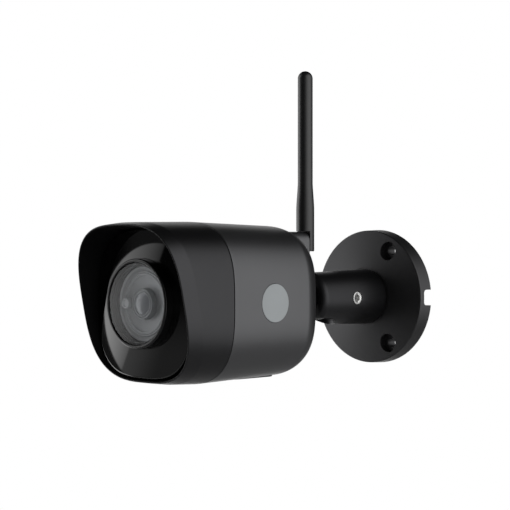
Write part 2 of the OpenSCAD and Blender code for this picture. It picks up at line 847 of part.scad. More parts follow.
module window_gasket() {
    color("#050505")
    tube(ring_bore_r, glass_r, glass_back, glass_reach - 0.3);
}

module window_glass() {
    color("#8f9396") rod(glass_r, glass_back, glass_reach);
}

module ir_lens_ring() {
    color("#b4b7ba")
    tube(ir_ring_r, bezel_r + hair_gap, ir_ring_back, bezel_front);
}

module lens_bezel() {
    throat = barrel_r + barrel_play;
    color("#a7aaad") difference() {
        turned([[throat, bezel_back], [bezel_r, bezel_back], [bezel_r, bezel_front],
            [bezel_r - bezel_rim, bezel_front], [bezel_r - bezel_rim, bezel_front - bezel_step],
            [throat + bezel_slope_w, bezel_front - 1.3 * bezel_step],
            [throat, bezel_front - 1.5 * bezel_step]]);
        rod(light_sensor_r, bezel_back - cut, bezel_front + cut, x = -light_sensor_offset,
            fn = small_fn);
    }
}

module light_sensor() {
    color("#3a3c3f")
    rod(light_sensor_r - press_play, bezel_back + hair_gap, glass_back - sensor_gap,
        x = -light_sensor_offset, fn = small_fn);
}

module at_lamps() {
    for (i = [0 : ir_lamps - 1]) rotate([0, 360 * i / ir_lamps, 0])
        translate([lamp_circle_r, 0, 0]) children();
}

module ir_board() {
    color("#1d3b2c")
    tube(ir_ring_r, barrel_r + barrel_play, module_front, ir_board_front);
}

module ir_lamps() {
    color("#d9dcdf") at_lamps() rod(lamp_r, ir_board_front, ir_board_front + lamp_h, fn = 24);
}

module module_plate() {
    color("#2c2d2f")
    tube(window_ring_r + 2, barrel_r + barrel_play, module_back, module_front);
}

module module_pillars() {
    color("#c3a55c") at_corners(pillar_xz, pillar_xz)
        rod(pillar_r, holder_back, module_back, fn = small_fn);
}

module lens_barrel() {
    bore = front_lens_r;
    color("#101011") difference() {
        rod(barrel_r, barrel_back, barrel_reach);
        rod(bore, barrel_reach - 2.4, barrel_reach + cut);
        rod(bore - 1.2, barrel_back - cut, barrel_reach);
    }
}

module front_lens() {
    sag = 1;
    radius = (front_lens_r * front_lens_r + sag * sag) / (2 * sag);
    color("#5d6670") intersection() {
        rod(front_lens_r - press_play, barrel_reach - 2.4, barrel_reach + sag);
        translate([0, -(barrel_reach - 0.4 + sag - radius), 0]) sphere(r = radius, $fn = round_fn);
    }
}

module rear_lens() {
    color("#5d6670")
    rod(front_lens_r - 1.2 - press_play, barrel_back, barrel_back + 1.5);
}

module lens_holder() {
    color("#171718") difference() {
        slab(holder_w, holder_back, barrel_back, -holder_w / 2, holder_w / 2);
        slab(holder_w - 2 * holder_wall, holder_back - cut, barrel_back - holder_wall,
            holder_wall - holder_w / 2, holder_w / 2 - holder_wall);
        rod(front_lens_r - 1.2, holder_back, barrel_back + cut);
    }
}

module image_sensor() {
    color("#33415c")
    slab(chip_w, holder_back, holder_back + chip_t, -chip_w / 2, chip_w / 2);
}

module sensor_board() {
    half = sensor_board_w / 2;
    color("#1d3b2c") slab(sensor_board_w, board_back, holder_back, -half, half);
}

// ------------------------------------------------------------------ electronics

module at_board_posts() {
    for (sx = [-1, 1]) for (sy = [-1, 1])
        translate([sx * (board_w / 2 - 3), -(chassis_back + chassis_l / 2) + sy * (board_l / 2 - 3),
            chassis_z]) children();
}

module chassis() {
    color("#8d9093") {
        slab(chassis_w, chassis_back, chassis_back + chassis_l, chassis_z - chassis_t, chassis_z);
        at_board_posts() cylinder(r = standoff_r, h = standoff_h, $fn = small_fn);
        for (sx = [-1, 1])
            slab(2, cover_mid_reach - socket_l / 2, cover_mid_reach + socket_l / 2, card_z + board_t,
                chassis_z - chassis_t, sx * (socket_w / 2 + 2));
    }
}

module main_board() {
    back = chassis_back + (chassis_l - board_l) / 2;
    color("#1d3b2c") slab(board_w, back, back + board_l, board_z, board_z + board_t);
}

module main_chip() {
    mid = main_chip_mid;
    color("#151516")
    slab(main_chip_w, mid - main_chip_w / 2, mid + main_chip_w / 2, chip_z, sink_z);
}

module heat_sink() {
    pitch = (sink_w - fin_t) / (fins - 1);
    color("#9ea2a6") {
        slab(sink_w, sink_front - sink_l, sink_front, sink_z, sink_z + sink_t);
        for (i = [0 : fins - 1])
            slab(fin_t, sink_front - sink_l, sink_front, sink_z, sink_z + sink_t + fin_h,
                -sink_w / 2 + fin_t / 2 + i * pitch);
    }
}

module card_board() {
    color("#1d3b2c")
    slab(socket_w + 2 * card_board_side, cover_mid_reach - card_board_back,
        cover_mid_reach + card_board_front, card_z, card_z + board_t);
}

module card_socket() {
    back = cover_mid_reach - card_offset + 1.2;
    color("#b9bbbd") difference() {
        slab(socket_w, back, back + socket_l, card_z - socket_h, card_z, -1);
        slab(card_w + 2 * card_play, back - cut, back + socket_l - cut,
            card_z - socket_h + 0.6, card_z - 0.6, -1);
    }
}

module memory_card() {
    back = cover_mid_reach - card_offset;
    color("#1a1a1b") slab(card_w, back, back + card_l - cut, card_z - socket_h + 0.6 + card_play,
        card_z - socket_h + 0.6 + card_play + card_t, -1);
}

module at_reset(z) {
    translate([reset_x, -reset_reach, z]) children();
}

module reset_switch() {
    color("#26272a") at_reset(card_z - reset_switch_h) difference() {
        translate([-switch_w / 2, -switch_w / 2, 0]) cube([switch_w, switch_w, reset_switch_h]);
        translate([0, 0, -cut])
            cylinder(r = reset_r + turn_fit, h = cut + reset_switch_h - 0.5, $fn = small_fn);
    }
}

module reset_button() {
    color("#d7d9db") at_reset(card_z - reset_switch_h - reset_h + 0.9)
        cylinder(r = reset_r, h = reset_h - hair_gap, $fn = small_fn);
}

module speaker() {
    floor_z = -(rear_h_at(speaker_reach) - wall) + 0.6;
    color("#202123") translate([0, -speaker_reach, floor_z]) {
        cylinder(r = speaker_r, h = speaker_t, $fn = round_fn);
        cylinder(r = speaker_r * 0.6, h = speaker_t + speaker_back_t, $fn = round_fn);
    }
}

module microphone() {
    mic_r = 2.2;
    x = board_w / 2 - mic_r - 0.6;
    color("#6d7073") translate([x, -(chassis_back + chassis_l / 2), chip_z])
        cylinder(r = mic_r, h = 2.2, $fn = small_fn);
}

module underside_cover() {
    color("#46474a") difference() {
        cover_plate(0, cover_face_z, cover_seat_z - hair_gap);
        at_cover_screws() {
            translate([0, 0, cover_face_z - cut])
                cylinder(r = cover_screw_r + loose_fit, h = cover_t + 2 * cut, $fn = small_fn);
            translate([0, 0, cover_face_z - cut])
                cylinder(r = cover_screw_head_r + loose_fit, h = cover_screw_head_t + cut,
                    $fn = small_fn);
        }
    }
}

module cover_gasket() {
    inset = 1.2;
    color("#141415") difference() {
        slab(cover_open_w - hair_gap, cover_mid_reach - cover_open_l / 2 + hair_gap,
            cover_mid_reach + cover_open_l / 2 - hair_gap, cover_seat_z - hair_gap,
            cover_seat_z - hair_gap + cover_gasket_t);
        slab(cover_open_w - 2 * inset, cover_mid_reach - cover_open_l / 2 + inset,
            cover_mid_reach + cover_open_l / 2 - inset, cover_seat_z - cut,
            cover_seat_z + cover_gasket_t + cut);
    }
}

module cover_screws() {
    color("#b9bbbd") at_cover_screws() {
        translate([0, 0, cover_face_z + cover_screw_head_t - hair_gap])
            cylinder(r = cover_screw_r, h = cover_screw_l - 2 * cover_screw_head_t, $fn = small_fn);
        translate([0, 0, cover_face_z + screw_sink]) difference() {
            cylinder(r = cover_screw_head_r, h = cover_screw_head_t - screw_sink, $fn = small_fn);
            translate([0, 0, -cut])
                cylinder(d = cover_screw_head_r * 0.8, h = cut + cover_screw_head_t / 2, $fn = 6);
        }
    }
}

module side_badge() {
    x = rear_w_at(badge_reach) - badge_t;
    color("#a2a7a9") translate([x, -badge_reach, 0]) rotate([0, 90, 0])
        cylinder(r = badge_r, h = badge_t + 0.25, $fn = round_fn);
}

// ------------------------------------------------------------------ antenna

module antenna() {
    bottom_z = pivot_z - tongue_drop;
    top_z = pivot_z + antenna_l;
    color("#3c3d40") difference() {
        translate([0, -antenna_reach, 0]) rotate_extrude($fn = round_fn) polygon(concat(
            [[0, bottom_z], [antenna_foot_r, bottom_z], [antenna_foot_r, pivot_z + taper_start],
                [antenna_r, pivot_z + taper_end]],
            arc([0, top_z - antenna_r], antenna_r, 0, 90)));
        slab(4 * antenna_foot_r, split_reach, split_reach + 2 * antenna_foot_r,
            bottom_z - cut, shoulder_z);
        rod(pivot_r + turn_fit, antenna_reach - 2 * antenna_foot_r, split_reach + cut,
            z = pivot_z, fn = small_fn);
        rod(pin_head_r + turn_fit, antenna_reach - 2 * antenna_foot_r,
            antenna_reach - antenna_foot_r + pin_head_t + 0.4, z = pivot_z, fn = small_fn);
    }
}

module antenna_pin() {
    head = antenna_reach - antenna_foot_r + 0.4;
    color("#8d9093") difference() {
        union() {
            rod(pivot_r, head + 0.5, pin_end_reach - 0.5, z = pivot_z, fn = small_fn);
            rod(pin_head_r, head, head + pin_head_t - hair_gap, z = pivot_z, fn = small_fn);
        }
        slab(0.6, head - cut, head + 0.5, pivot_z - pin_head_r, pivot_z + pin_head_r);
    }
}

module antenna_washer() {
    color("#202123")
    tube(antenna_foot_r - 0.8, pivot_r + press_play, boss_rear_reach - washer_t,
        boss_rear_reach, z = pivot_z, fn = small_fn);
}

// Lead from the pivot boss down to the main board, a straight run and one quarter turn
module antenna_lead() {
    bend = 5;
    turn_reach = boss_front_reach + 1;
    color("#8d9093") {
        rod(lead_r, pin_end_reach, turn_reach, z = pivot_z, fn = 24);
        translate([0, -turn_reach, pivot_z - bend]) rotate([90, 0, -90])
            rotate_extrude(angle = 90, $fn = small_fn) translate([bend, 0]) circle(r = lead_r, $fn = 24);
        translate([0, -turn_reach - bend, board_z + board_t])
            cylinder(r = lead_r, h = pivot_z - bend - board_z - board_t, $fn = 24);
    }
}

// ------------------------------------------------------------------ pieces

base_cup();
pan_washer();
arm();
arm_clip();
pressure_plug();
lock_screw();
ball_stem();
stem_washer();
stem_nut();
rear_housing();
front_hood();
housing_seal();
housing_screws();
front_panel();
window_ring();
window_gasket();
window_glass();
ir_lens_ring();
lens_bezel();
light_sensor();
ir_board();
ir_lamps();
module_plate();
module_pillars();
lens_barrel();
front_lens();
rear_lens();
lens_holder();
image_sensor();
sensor_board();
chassis();
main_board();
main_chip();
heat_sink();
card_board();
card_socket();
memory_card();
reset_switch();
reset_button();
speaker();
microphone();
underside_cover();
cover_gasket();
cover_screws();
side_badge();
antenna();
antenna_pin();
antenna_washer();
antenna_lead();
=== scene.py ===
"""Looks of an outdoor bullet camera on its wall bracket.

Every surface is made in numpy as rings of points, in millimetres, and stored in metres.
The body's sections are superellipses: |x/w|^n + |z/h|^n = 1. "Reach" is the distance from
the wall, so a reach of r lies at y = -r. The rear rounding draws each section in by
inset * (1 - cos(u)^(2/p)) while it moves back by depth * sin(u)^(2/p), u from 0 to 90 degrees.
"""
import json
import math

import bmesh
import bpy
import numpy as np
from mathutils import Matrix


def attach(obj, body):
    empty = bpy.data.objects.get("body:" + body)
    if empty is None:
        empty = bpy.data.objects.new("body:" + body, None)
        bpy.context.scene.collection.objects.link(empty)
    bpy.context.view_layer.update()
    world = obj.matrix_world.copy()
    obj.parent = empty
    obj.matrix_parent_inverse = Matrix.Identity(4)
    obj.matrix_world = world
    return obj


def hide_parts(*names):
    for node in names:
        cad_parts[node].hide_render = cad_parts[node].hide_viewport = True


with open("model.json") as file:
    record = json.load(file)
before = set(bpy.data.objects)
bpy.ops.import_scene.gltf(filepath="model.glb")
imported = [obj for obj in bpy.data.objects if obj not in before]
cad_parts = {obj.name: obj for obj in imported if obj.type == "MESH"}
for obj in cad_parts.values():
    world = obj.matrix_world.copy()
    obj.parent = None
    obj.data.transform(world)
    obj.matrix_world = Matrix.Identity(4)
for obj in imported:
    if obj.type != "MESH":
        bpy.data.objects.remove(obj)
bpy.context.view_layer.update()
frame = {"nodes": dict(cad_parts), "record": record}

MM = 0.001
VIEW_ANGLE = 44.14  # degrees that the camera stands round from the front
scene = bpy.context.scene

# ---------------------------------------------------------------- camera

cam_data = bpy.data.cameras.new("camera")
cam = bpy.data.objects.new("camera", cam_data)
scene.collection.objects.link(cam)
cam.location = (0.4757, -0.5839, 0.02175)
cam.rotation_euler = (math.radians(90), 0, math.radians(VIEW_ANGLE))
cam_data.lens = 100
cam_data.sensor_width = 36
cam_data.clip_start = 0.01
scene.camera = cam

# ---------------------------------------------------------------- mesh helpers


def shaped(v, e):
    """Power of a value's size that keeps its sign: sign(v) * |v|^e."""
    return np.sign(v) * np.abs(v) ** e


def section(w, h, n, reach, lean=0.0, count=288):
    """One closed section as count points [x, y, z]."""
    a = 2 * np.pi * (np.arange(count) + 0.5) / count
    x = w * shaped(np.cos(a), 2 / n)
    z = h * shaped(np.sin(a), 2 / n)
    return np.stack([x, -(reach + lean * z), z], 1)


def mix(a, b, t):
    """Straight blend from a at t = 0 to b at t = 1."""
    return a + (b - a) * t


def make(name, points, faces, smooth=True):
    """Mesh object from points in millimetres, with its place in its mesh."""
    mesh = bpy.data.meshes.new(name)
    mesh.from_pydata((np.asarray(points) * MM).tolist(), [], faces)
    mesh.validate()
    if smooth:
        mesh.shade_smooth()
    ob = bpy.data.objects.new(name, mesh)
    scene.collection.objects.link(ob)
    return ob


def loft(name, rings, closed=False, caps=(False, False), smooth=True):
    """Skin through sections that all have the same number of points."""
    rings = [np.asarray(r, float) for r in rings]
    n, k = len(rings[0]), len(rings)
    points = np.concatenate(rings)
    i = np.arange(n)
    j = (i + 1) % n
    faces = []
    for r in range(k if closed else k - 1):
        s = (r + 1) % k
        faces.append(np.stack([r * n + i, s * n + i, s * n + j, r * n + j], 1))
    faces = [tuple(f) for f in np.concatenate(faces).tolist()]
    extra = []
    if caps[0]:
        extra.append(tuple(range(n)))
    if caps[1]:
        extra.append(tuple(range((k - 1) * n + n - 1, (k - 1) * n - 1, -1)))
    ob = make(name, points, faces + extra, smooth)
    recalc(ob)
    return ob


def recalc(ob):
    """Turns every face outwards."""
    bm = bmesh.new()
    bm.from_mesh(ob.data)
    bmesh.ops.recalc_face_normals(bm, faces=bm.faces)
    bm.to_mesh(ob.data)
    bm.free()


def turned(name, profile, count=192, closed=True, at=(0, 0), axis="y"):
    """Piece turned about an axis through the two coordinates at, from [radius, distance] points.
    The distance is the reach about y, x itself about x and z itself about z."""
    a = 2 * np.pi * (np.arange(count) + 0.5) / count
    c, s = np.cos(a), np.sin(a)
    rings = []
    for r, q in profile:
        u, v, w = at[0] + r * c, at[1] + r * s, np.full(count, float(q))
        rings.append(np.stack({"y": (u, -w, v), "x": (w, u, v), "z": (u, v, w)}[axis], 1))
    return loft(name, rings, closed=closed, caps=(not closed, not closed))


def fillet(profile, radii, steps=6):
    """Rounds the corners of a [radius, reach] profile; radii has one entry a corner."""
    out = []
    n = len(profile)
    for i, (p, rad) in enumerate(zip(profile, radii)):
        p = np.array(p, float)
        a = np.array(profile[i - 1], float) - p
        b = np.array(profile[(i + 1) % n], float) - p
        la, lb = np.linalg.norm(a), np.linalg.norm(b)
        if rad <= 0 or la < 1e-9 or lb < 1e-9:
            out.append(tuple(p))
            continue
        a, b = a / la, b / lb
        half = math.acos(max(-1, min(1, float(a @ b)))) / 2
        if half > 1.55:
            out.append(tuple(p))
            continue
        d = min(rad / math.tan(half), la * 0.49, lb * 0.49)
        rad = d * math.tan(half)
        c = p + (a + b) / np.linalg.norm(a + b) * (rad / math.sin(half))
        s, e = p + a * d - c, p + b * d - c
        angle = math.acos(max(-1, min(1, float(s @ e) / rad ** 2)))
        out.append(tuple(p + a * (d + min(0.06, (la - d) * 0.1))))
        for k in range(steps + 1):
            t = k / steps
            q = (s * math.sin((1 - t) * angle) + e * math.sin(t * angle)) / math.sin(angle)
            out.append(tuple(c + q))
        out.append(tuple(p + b * (d + min(0.06, (lb - d) * 0.1))))
    return out


def modifier(ob, kind, **values):
    """Adds a modifier with the given settings."""
    m = ob.modifiers.new(kind.lower(), kind)
    for key, value in values.items():
        setattr(m, key, value)
    return m


def carve(ob, cutters, bevel=0.0, segments=3):
    """Cuts the cutters from ob and rounds the new edges."""
    for c in cutters:
        modifier(ob, "BOOLEAN", operation="DIFFERENCE", object=c, solver="EXACT")
    if bevel:
        modifier(ob, "BEVEL", width=bevel * MM, segments=segments, limit_method="ANGLE",
                 angle_limit=math.radians(38), harden_normals=False)
    dg = bpy.context.evaluated_depsgraph_get()
    mesh = bpy.data.meshes.new_from_object(ob.evaluated_get(dg))
    ob.modifiers.clear()
    ob.data = mesh
    for c in cutters:
        bpy.data.objects.remove(c)
    soft_edges(ob)
    flat_normals(ob)
    return ob


def flat_normals(ob):
    """Lets large faces keep their own normals next to small roundings."""
    modifier(ob, "WEIGHTED_NORMAL", keep_sharp=True, mode="FACE_AREA", weight=60)
    mesh = bpy.data.meshes.new_from_object(ob.evaluated_get(bpy.context.evaluated_depsgraph_get()))
    ob.modifiers.clear()
    ob.data = mesh


def soft_edges(ob, angle=32):
    """Smooth shading that keeps corners sharper than the angle."""
    ob.data.shade_smooth()
    bm = bmesh.new()
    bm.from_mesh(ob.data)
    for e in bm.edges:
        if len(e.link_faces) == 2 and e.calc_face_angle(0) > math.radians(angle):
            e.smooth = False
    bm.to_mesh(ob.data)
    bm.free()


def block(name, low, high):
    """Box between two corners, used only as a cutter."""
    x0, y0, z0 = low
    x1, y1, z1 = high
    p = [(x, y, z) for x in (x0, x1) for y in (y0, y1) for z in (z0, z1)]
    f = [(0, 1, 3, 2), (4, 6, 7, 5), (0, 4, 5, 1), (2, 3, 7, 6), (0, 2, 6, 4), (1, 5, 7, 3)]
    ob = make(name, p, f, smooth=False)
    recalc(ob)
    return ob


def rod(name, r, start, end, count=96):
    """Cylinder between two points."""
    s, e = np.array(start, float), np.array(end, float)
    d = (e - s) / np.linalg.norm(e - s)
    u = np.cross(d, (0.0, 0.0, 1.0) if abs(d[2]) < 0.9 else (1.0, 0.0, 0.0))
    u /= np.linalg.norm(u)
    v = np.cross(d, u)
    a = 2 * np.pi * np.arange(count) / count
    ring = r * (np.outer(np.cos(a), u) + np.outer(np.sin(a), v))
    return loft(name, [s + ring, e + ring], caps=(True, True))


# ---------------------------------------------------------------- materials


class Nodes:
    """Short way to write a node tree."""

    def __init__(self, name):
        self.mat = bpy.data.materials.new(name)
        self.mat.use_nodes = True
        self.tree = self.mat.node_tree
        self.tree.nodes.clear()
        self.out = self.add("ShaderNodeOutputMaterial")
        self.coord = self.add("ShaderNodeTexCoord").outputs["Object"]

    def add(self, kind, **values):
        """New node; a keyword is a setting, or else an input's value."""
        n = self.tree.nodes.new(kind)
        for key, value in values.items():
            if hasattr(n, key):
                setattr(n, key, value)
            else:
                n.inputs[key.replace("_", " ")].default_value = value
        return n

    def link(self, a, b):
        self.tree.links.new(a, b)

    def noise(self, scale, detail=2.0, rough=0.5, stretch=None):
        """Fractal noise on Object coordinates, stretched by a Mapping node if asked."""
        n = self.add("ShaderNodeTexNoise")
        n.inputs["Scale"].default_value = scale
        n.inputs["Detail"].default_value = detail
        n.inputs["Roughness"].default_value = rough
        source = self.coord
        if stretch:
            m = self.add("ShaderNodeMapping")
            m.inputs["Scale"].default_value = stretch
            self.link(self.coord, m.inputs["Vector"])
            source = m.outputs["Vector"]
        self.link(source, n.inputs["Vector"])
        return n.outputs["Fac"]

    def span(self, fac, low, high, start=0.35, end=0.65):
        """Straight blend from low at start to high at end."""
        n = self.add("ShaderNodeMapRange")
        for key, value in (("From Min", start), ("From Max", end), ("To Min", low), ("To Max", high)):
            n.inputs[key].default_value = value
        self.link(fac, n.inputs["Value"])
        return n.outputs["Result"]


def paint(name, color, rough, metal=0.85, bump=0.010, grain=2600.0, vary=0.03, stretch=None):
    """Satin paint with metal flakes: most of its light is a soft mirror image."""
    return surface(name, color, rough, bump=bump, grain=grain, vary=vary, metal=metal,
                   rough_vary=0.04, stretch=stretch)


def surface(name, color, rough, bump=0.0, grain=1800.0, vary=0.06, spec=0.5, metal=0.0,
            coat=0.0, coat_rough=0.1, rough_vary=0.05, stretch=None):
    """Moulded, painted or metal finish: slow colour drift, fine grain in roughness and bump."""
    t = Nodes(name)
    p = t.add("ShaderNodeBsdfPrincipled")
    t.link(p.outputs[0], t.out.inputs[0])
    drift = t.noise(22, 3)
    ramp = t.add("ShaderNodeMix", data_type="RGBA")
    a = [max(0, c * (1 - vary)) for c in color] + [1]
    b = [min(1, c * (1 + vary)) for c in color] + [1]
    ramp.inputs["A"].default_value = a
    ramp.inputs["B"].default_value = b
    t.link(t.span(drift, 0, 1), ramp.inputs["Factor"])
    t.link(ramp.outputs["Result"], p.inputs["Base Color"])
    fine = t.noise(grain, 2, 0.6, stretch)
    t.link(t.span(fine, max(0.0, rough - rough_vary), min(1.0, rough + rough_vary)), p.inputs["Roughness"])
    p.inputs["Metallic"].default_value = metal
    p.inputs["Specular IOR Level"].default_value = spec
    p.inputs["IOR"].default_value = 1.5
    p.inputs["Coat Weight"].default_value = coat
    p.inputs["Coat Roughness"].default_value = coat_rough
    if bump:
        n = t.add("ShaderNodeBump")
        n.inputs["Strength"].default_value = 0.6
        n.inputs["Distance"].default_value = bump * MM
        t.link(fine, n.inputs["Height"])
        t.link(n.outputs[0], p.inputs["Normal"])
    return t.mat


M = {
    "bracket_paint": paint("bracket_paint", (0.066, 0.066, 0.068), 0.38),
    # the arm wears the bracket's paint made darker: painted shade
    "arm_shaded_paint": paint("arm_shaded_paint", (0.036, 0.036, 0.038), 0.36),
    "joint_metal": paint("joint_metal", (0.025, 0.025, 0.026), 0.38),
    "housing_paint": paint("housing_paint", (0.124, 0.125, 0.129), 0.33),
    "hood_paint": paint("hood_paint", (0.043, 0.043, 0.045), 0.33),
    # near-black, dull copy of the hood paint for the hood's inner faces: painted shade that shows no
    # reflections
    "hood_inside_painted_shade": surface("hood_inside_painted_shade", (0.003, 0.003, 0.0033), 0.6, bump=0.012, grain=2200, spec=0.12),
    "steel": surface("steel", (0.62, 0.62, 0.61), 0.28, metal=1.0, bump=0.004, grain=900,
                     stretch=(1, 12, 1)),
    "rubber": surface("rubber", (0.012, 0.012, 0.012), 0.75, bump=0.02, grain=1500),
    "panel_gloss": surface("panel_gloss", (0.0015, 0.0015, 0.0017), 0.012, rough_vary=0.004, spec=0.8),
    "ring_plastic": surface("ring_plastic", (0.004, 0.004, 0.0045), 0.2, bump=0.003, grain=2400),
    "grey_plastic": surface("grey_plastic", (0.54, 0.55, 0.56), 0.4, bump=0.006, grain=2000),
    "black_plastic": surface("black_plastic", (0.006, 0.006, 0.0065), 0.45, bump=0.01, grain=2000),
    "board_green": surface("board_green", (0.02, 0.09, 0.05), 0.35, bump=0.01, grain=700),
    "lamp_clear": surface("lamp_clear", (0.7, 0.72, 0.74), 0.12, vary=0.02),
    "sensor_glass": surface("sensor_glass", (0.06, 0.09, 0.16), 0.1, grain=3000),
    "brass": surface("brass", (0.6, 0.45, 0.2), 0.3, metal=1.0, grain=900, stretch=(1, 14, 1)),
    "bare_aluminium": surface("bare_aluminium", (0.6, 0.61, 0.62), 0.4, metal=1.0, bump=0.006,
                              grain=800, stretch=(1, 10, 1)),
    "button_white": surface("button_white", (0.7, 0.7, 0.71), 0.4, bump=0.004),
    "badge_plain": surface("badge_plain", (0.36, 0.385, 0.395), 0.34, bump=0.004, grain=2600),
    "antenna_plastic": surface("antenna_plastic", (0.010, 0.0102, 0.011), 0.36, bump=0.012, grain=2200,
                               spec=0.7),
    "lead_jacket": surface("lead_jacket", (0.3, 0.3, 0.31), 0.4, bump=0.01),
    "pipe_milk": surface("pipe_milk", (0.5, 0.51, 0.52), 0.25, spec=0.6, grain=1200),
    # near-black for the gaps round the badge and the slot cover: painted shade
    "painted_gap_shade": surface("painted_gap_shade", (0.004, 0.004, 0.004), 0.7),
}


def clear(name, tint, haze, haze_color, rough=0.02, gloss=1.0, front=(0, -1, 0)):
    """Thin clear window: mostly see-through, with a mirror sheen and a little haze."""
    t = Nodes(name)
    see = t.add("ShaderNodeBsdfTransparent")
    see.inputs["Color"].default_value = (*tint, 1)
    milk = t.add("ShaderNodeBsdfDiffuse")
    milk.inputs["Color"].default_value = (*haze_color, 1)
    shine = t.add("ShaderNodeBsdfGlossy")
    shine.inputs["Roughness"].default_value = rough
    shine.inputs["Color"].default_value = (gloss, gloss, gloss, 1)
    fres = t.add("ShaderNodeFresnel")
    fres.inputs["IOR"].default_value = 1.5
    body, top = t.add("ShaderNodeMixShader"), t.add("ShaderNodeMixShader")
    # sheen and haze belong to the outer face only, met from outside
    facing = t.add("ShaderNodeVectorMath", operation="DOT_PRODUCT")
    geometry = t.add("ShaderNodeNewGeometry")
    t.link(geometry.outputs["Normal"], facing.inputs[0])
    facing.inputs[1].default_value = front
    met = t.add("ShaderNodeMath", operation="SUBTRACT")
    t.link(facing.outputs["Value"], met.inputs[0])
    t.link(geometry.outputs["Backfacing"], met.inputs[1])
    outside = t.add("ShaderNodeMath", operation="GREATER_THAN")
    outside.inputs[1].default_value = 0.5
    t.link(met.outputs[0], outside.inputs[0])
    sheen = t.add("ShaderNodeMath", operation="MULTIPLY")
    t.link(fres.outputs[0], sheen.inputs[0])
    t.link(outside.outputs[0], sheen.inputs[1])
    amount = t.add("ShaderNodeMath", operation="MULTIPLY")
    t.link(t.span(t.noise(30, 3), haze * 0.94, haze * 1.06), amount.inputs[0])
    t.link(outside.outputs[0], amount.inputs[1])
    t.link(amount.outputs[0], body.inputs["Fac"])
    t.link(see.outputs[0], body.inputs[1])
    t.link(milk.outputs[0], body.inputs[2])
    t.link(sheen.outputs[0], top.inputs["Fac"])
    t.link(body.outputs[0], top.inputs[1])
    t.link(shine.outputs[0], top.inputs[2])
    t.link(top.outputs[0], t.out.inputs[0])
    return t.mat


M["window_clear"] = clear("window_clear", (0.96, 0.965, 0.97), 0.06, (0.85, 0.86, 0.87), gloss=0.5)
M["lens_clear"] = surface("lens_clear", (0.32, 0.33, 0.35), 0.35, coat=0.3, coat_rough=0.06, spec=0.3)
M["barrel_grey"] = surface("barrel_grey", (0.36, 0.37, 0.38), 0.4, bump=0.004, grain=2200)


def dress(ob, mat, body=None, stands_for=()):
    """Gives a piece its material and its body, and hides the nodes that it stands for."""
    ob.data.materials.clear()
    ob.data.materials.append(M[mat])
    if body:
        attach(ob, body)
    if stands_for:
        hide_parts(*stands_for)
    return ob


RECORD_SLOT = {sub["node"]: sub["material_slot"] for sub in frame["record"]["subparts"]}
NOTCH = 5.6
for sub in frame["record"]["subparts"]:
    node = frame["nodes"][sub["node"]]
    node.data.materials.clear()
    node.data.materials.append(M[sub["material_slot"]])

# ---------------------------------------------------------------- housing

SQ = 3.0
SEAM_W, SEAM_H, REAR_W, REAR_H = 37.0, 36.9, 36.0, 35.8
SEAM, REAR, DEPTH, INSET, POWER = 144.4, 77.2, 17.8, 17.2, 1.61
START = REAR + DEPTH
LIP_W, LIP_H, LIP, LEAN, LIP_ROUND = 34.5, 35.4, 172.2, 0.211, 0.45
STRIP_W, STRIP_H, STRIP = 35.7, 36.3, 7.5
MOUTH_W, MOUTH_H = LIP_W - 0.9, LIP_H - 0.9
RECESS_W, RECESS_H = 31.6, 33.6
PANEL, LEDGE = 165.4, 160.5


def dome(u):
    """Section in the rear rounding at angle u in degrees."""
    c, s = max(math.cos(math.radians(u)), 0.0), math.sin(math.radians(u))
    k = 1 - c ** (2 / POWER)
    return section(REAR_W - INSET * k, REAR_H - INSET * k, mix(SQ, 4, k),
                   START - DEPTH * s ** (2 / POWER))


def side(reach, inset=0.0):
    """Section of the straight part: half sizes grow evenly from START to SEAM."""
    t = (reach - START) / (SEAM - START)
    return section(mix(REAR_W, SEAM_W, t) - inset, mix(REAR_H, SEAM_H, t) - inset, SQ, reach)


rings = [dome(90) * (f, 1, f) for f in (0.25, 0.5, 0.75, 0.9, 0.97)]
rings += [dome(u) for u in np.linspace(90, 0, 46)]
rings += [side(r) for r in np.linspace(START, SEAM - 0.45, 26)[1:]]
rings += [side(SEAM - 0.45 + 0.3 * math.sin(a), 0.3 * (1 - math.cos(a)))
          for a in np.linspace(0.3, math.pi / 2, 5)]
rings += [side(SEAM - 0.15, 1.0), side(SEAM - 0.8, 1.0)]
housing = loft("housing_shell", rings, caps=(True, False))
dress(housing, "housing_paint", "housing_body", stands_for=("rear_housing",))

# hood
rings = [section(SEAM_W - 1.0, SEAM_H - 1.0, SQ, SEAM + 0.8),
         section(SEAM_W - 1.0, SEAM_H - 1.0, SQ, SEAM + 0.15)]
rings += [section(SEAM_W - 0.3 * (1 - math.cos(a)), SEAM_H - 0.3 * (1 - math.cos(a)), SQ,
                  SEAM + 0.45 - 0.3 * math.sin(a)) for a in np.linspace(math.pi / 2, 0.3, 5)]
for t in list(np.linspace(0.03, 0.96, 20)) + [0.99]:
    rings.append(section(mix(SEAM_W, STRIP_W, t), mix(SEAM_H, STRIP_H, t), SQ,
                         mix(SEAM, LIP - STRIP, t), LEAN * t))
for t in (0.0, 0.03, 0.35, 0.7, 0.93, 0.985):
    rings.append(section(mix(STRIP_W, LIP_W, t), mix(STRIP_H, LIP_H, t), SQ,
                         mix(LIP - STRIP, LIP - LIP_ROUND, t), LEAN))
for a in np.linspace(0, 180, 17):
    t = (1 - math.cos(math.radians(a))) / 2
    rings.append(section(mix(LIP_W, MOUTH_W, t), mix(LIP_H, MOUTH_H, t), SQ,
                         LIP + LIP_ROUND * (math.sin(math.radians(a)) - 1), LEAN))
outer_count = len(rings)
for t in [0.01] + list(np.linspace(0, 1, 14)[1:]):
    rings.append(section(mix(MOUTH_W, RECESS_W, t), mix(MOUTH_H, RECESS_H, t), SQ,
                         mix(LIP - LIP_ROUND, LEDGE, t), LEAN * (1 - t)))
hood = loft("hood_shell", rings)
